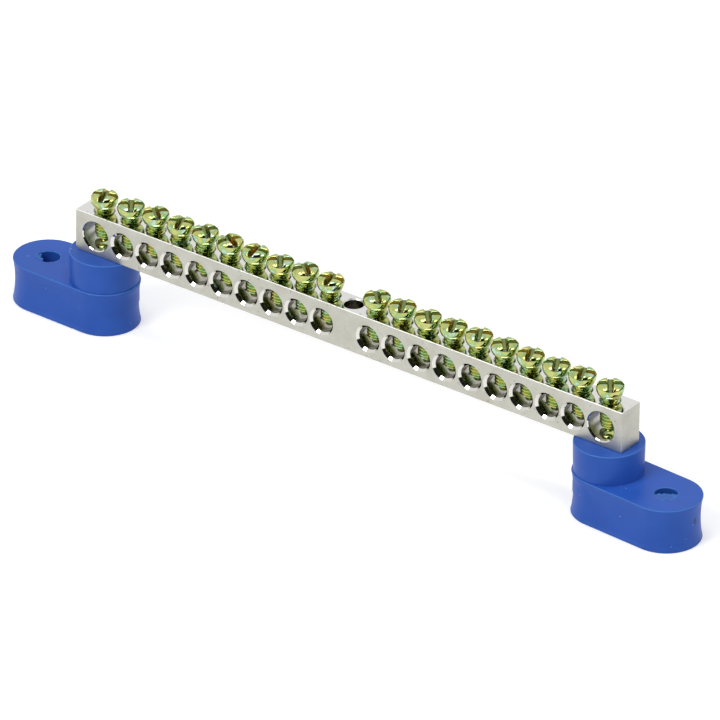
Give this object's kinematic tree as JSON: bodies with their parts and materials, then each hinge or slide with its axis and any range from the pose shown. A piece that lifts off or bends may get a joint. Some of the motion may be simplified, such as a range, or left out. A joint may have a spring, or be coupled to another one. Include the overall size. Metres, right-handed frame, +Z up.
{
  "type": "neutral busbar",
  "caption": "Neutral bar for wiring: a drilled and tapped plated metal bar with a row of clamping screws, carried on two stepped insulating feet with mounting holes.",
  "frame": {"origin": "on the surface that the feet stand on, below the middle of the bar", "axes": "+X along the bar towards the right foot, -Y the face that the wires enter in the picture, +Z up along the screws"},
  "size_m": [0.1698, 0.0158, 0.0296],
  "materials": {
    "nickel_plate": "satin nickel plate on brass",
    "yellow_zinc": "bright yellow zinc plate with a green and gold tint",
    "zinc_fixing_screw": "bright yellow zinc plate",
    "blue_plastic": "moulded, half gloss"
  },
  "bodies": {
    "bar_on_feet": {"busbar": "nickel_plate", "insulating_foot_left": "blue_plastic", "insulating_foot_right": "blue_plastic", "foot_fixing_screw_left": "zinc_fixing_screw", "foot_fixing_screw_right": "zinc_fixing_screw"},
    "terminal_screw_01": {"terminal_screw_01": "yellow_zinc"},
    "terminal_screw_02": {"terminal_screw_02": "yellow_zinc"},
    "terminal_screw_03": {"terminal_screw_03": "yellow_zinc"},
    "terminal_screw_04": {"terminal_screw_04": "yellow_zinc"},
    "terminal_screw_05": {"terminal_screw_05": "yellow_zinc"},
    "terminal_screw_06": {"terminal_screw_06": "yellow_zinc"},
    "terminal_screw_07": {"terminal_screw_07": "yellow_zinc"},
    "terminal_screw_08": {"terminal_screw_08": "yellow_zinc"},
    "terminal_screw_09": {"terminal_screw_09": "yellow_zinc"},
    "terminal_screw_10": {"terminal_screw_10": "yellow_zinc"},
    "terminal_screw_11": {"terminal_screw_11": "yellow_zinc"},
    "terminal_screw_12": {"terminal_screw_12": "yellow_zinc"},
    "terminal_screw_13": {"terminal_screw_13": "yellow_zinc"},
    "terminal_screw_14": {"terminal_screw_14": "yellow_zinc"},
    "terminal_screw_15": {"terminal_screw_15": "yellow_zinc"},
    "terminal_screw_16": {"terminal_screw_16": "yellow_zinc"},
    "terminal_screw_17": {"terminal_screw_17": "yellow_zinc"},
    "terminal_screw_18": {"terminal_screw_18": "yellow_zinc"},
    "terminal_screw_19": {"terminal_screw_19": "yellow_zinc"},
    "terminal_screw_20": {"terminal_screw_20": "yellow_zinc"}
  },
  "joints": [
    {"name": "terminal_screw_01_travel", "type": "slide", "parent": "bar_on_feet", "child": "terminal_screw_01", "axis": [0, 0, 1], "range_m": [-0.00064, 0.00527]},
    {"name": "terminal_screw_02_travel", "type": "slide", "parent": "bar_on_feet", "child": "terminal_screw_02", "axis": [0, 0, 1], "range_m": [-0.00027, 0.00443]},
    {"name": "terminal_screw_03_travel", "type": "slide", "parent": "bar_on_feet", "child": "terminal_screw_03", "axis": [0, 0, 1], "range_m": [-0.00062, 0.00408]},
    {"name": "terminal_screw_04_travel", "type": "slide", "parent": "bar_on_feet", "child": "terminal_screw_04", "axis": [0, 0, 1], "range_m": [-0.00051, 0.00418]},
    {"name": "terminal_screw_05_travel", "type": "slide", "parent": "bar_on_feet", "child": "terminal_screw_05", "axis": [0, 0, 1], "range_m": [-0.00072, 0.00397]},
    {"name": "terminal_screw_06_travel", "type": "slide", "parent": "bar_on_feet", "child": "terminal_screw_06", "axis": [0, 0, 1], "range_m": [-0.00062, 0.00408]},
    {"name": "terminal_screw_07_travel", "type": "slide", "parent": "bar_on_feet", "child": "terminal_screw_07", "axis": [0, 0, 1], "range_m": [-0.00048, 0.00422]},
    {"name": "terminal_screw_08_travel", "type": "slide", "parent": "bar_on_feet", "child": "terminal_screw_08", "axis": [0, 0, 1], "range_m": [-0.00027, 0.00443]},
    {"name": "terminal_screw_09_travel", "type": "slide", "parent": "bar_on_feet", "child": "terminal_screw_09", "axis": [0, 0, 1], "range_m": [-0.00058, 0.00411]},
    {"name": "terminal_screw_10_travel", "type": "slide", "parent": "bar_on_feet", "child": "terminal_screw_10", "axis": [0, 0, 1], "range_m": [-0.00041, 0.00429]},
    {"name": "terminal_screw_11_travel", "type": "slide", "parent": "bar_on_feet", "child": "terminal_screw_11", "axis": [0, 0, 1], "range_m": [-0.00037, 0.00432]},
    {"name": "terminal_screw_12_travel", "type": "slide", "parent": "bar_on_feet", "child": "terminal_screw_12", "axis": [0, 0, 1], "range_m": [-0.00048, 0.00422]},
    {"name": "terminal_screw_13_travel", "type": "slide", "parent": "bar_on_feet", "child": "terminal_screw_13", "axis": [0, 0, 1], "range_m": [-0.00027, 0.00443]},
    {"name": "terminal_screw_14_travel", "type": "slide", "parent": "bar_on_feet", "child": "terminal_screw_14", "axis": [0, 0, 1], "range_m": [-0.00037, 0.00432]},
    {"name": "terminal_screw_15_travel", "type": "slide", "parent": "bar_on_feet", "child": "terminal_screw_15", "axis": [0, 0, 1], "range_m": [-0.00048, 0.00422]},
    {"name": "terminal_screw_16_travel", "type": "slide", "parent": "bar_on_feet", "child": "terminal_screw_16", "axis": [0, 0, 1], "range_m": [-0.00041, 0.00429]},
    {"name": "terminal_screw_17_travel", "type": "slide", "parent": "bar_on_feet", "child": "terminal_screw_17", "axis": [0, 0, 1], "range_m": [-0.00037, 0.00432]},
    {"name": "terminal_screw_18_travel", "type": "slide", "parent": "bar_on_feet", "child": "terminal_screw_18", "axis": [0, 0, 1], "range_m": [-0.00027, 0.00443]},
    {"name": "terminal_screw_19_travel", "type": "slide", "parent": "bar_on_feet", "child": "terminal_screw_19", "axis": [0, 0, 1], "range_m": [-0.00041, 0.00429]},
    {"name": "terminal_screw_20_travel", "type": "slide", "parent": "bar_on_feet", "child": "terminal_screw_20", "axis": [0, 0, 1], "range_m": [-0.00057, 0.00534]}
  ]
}
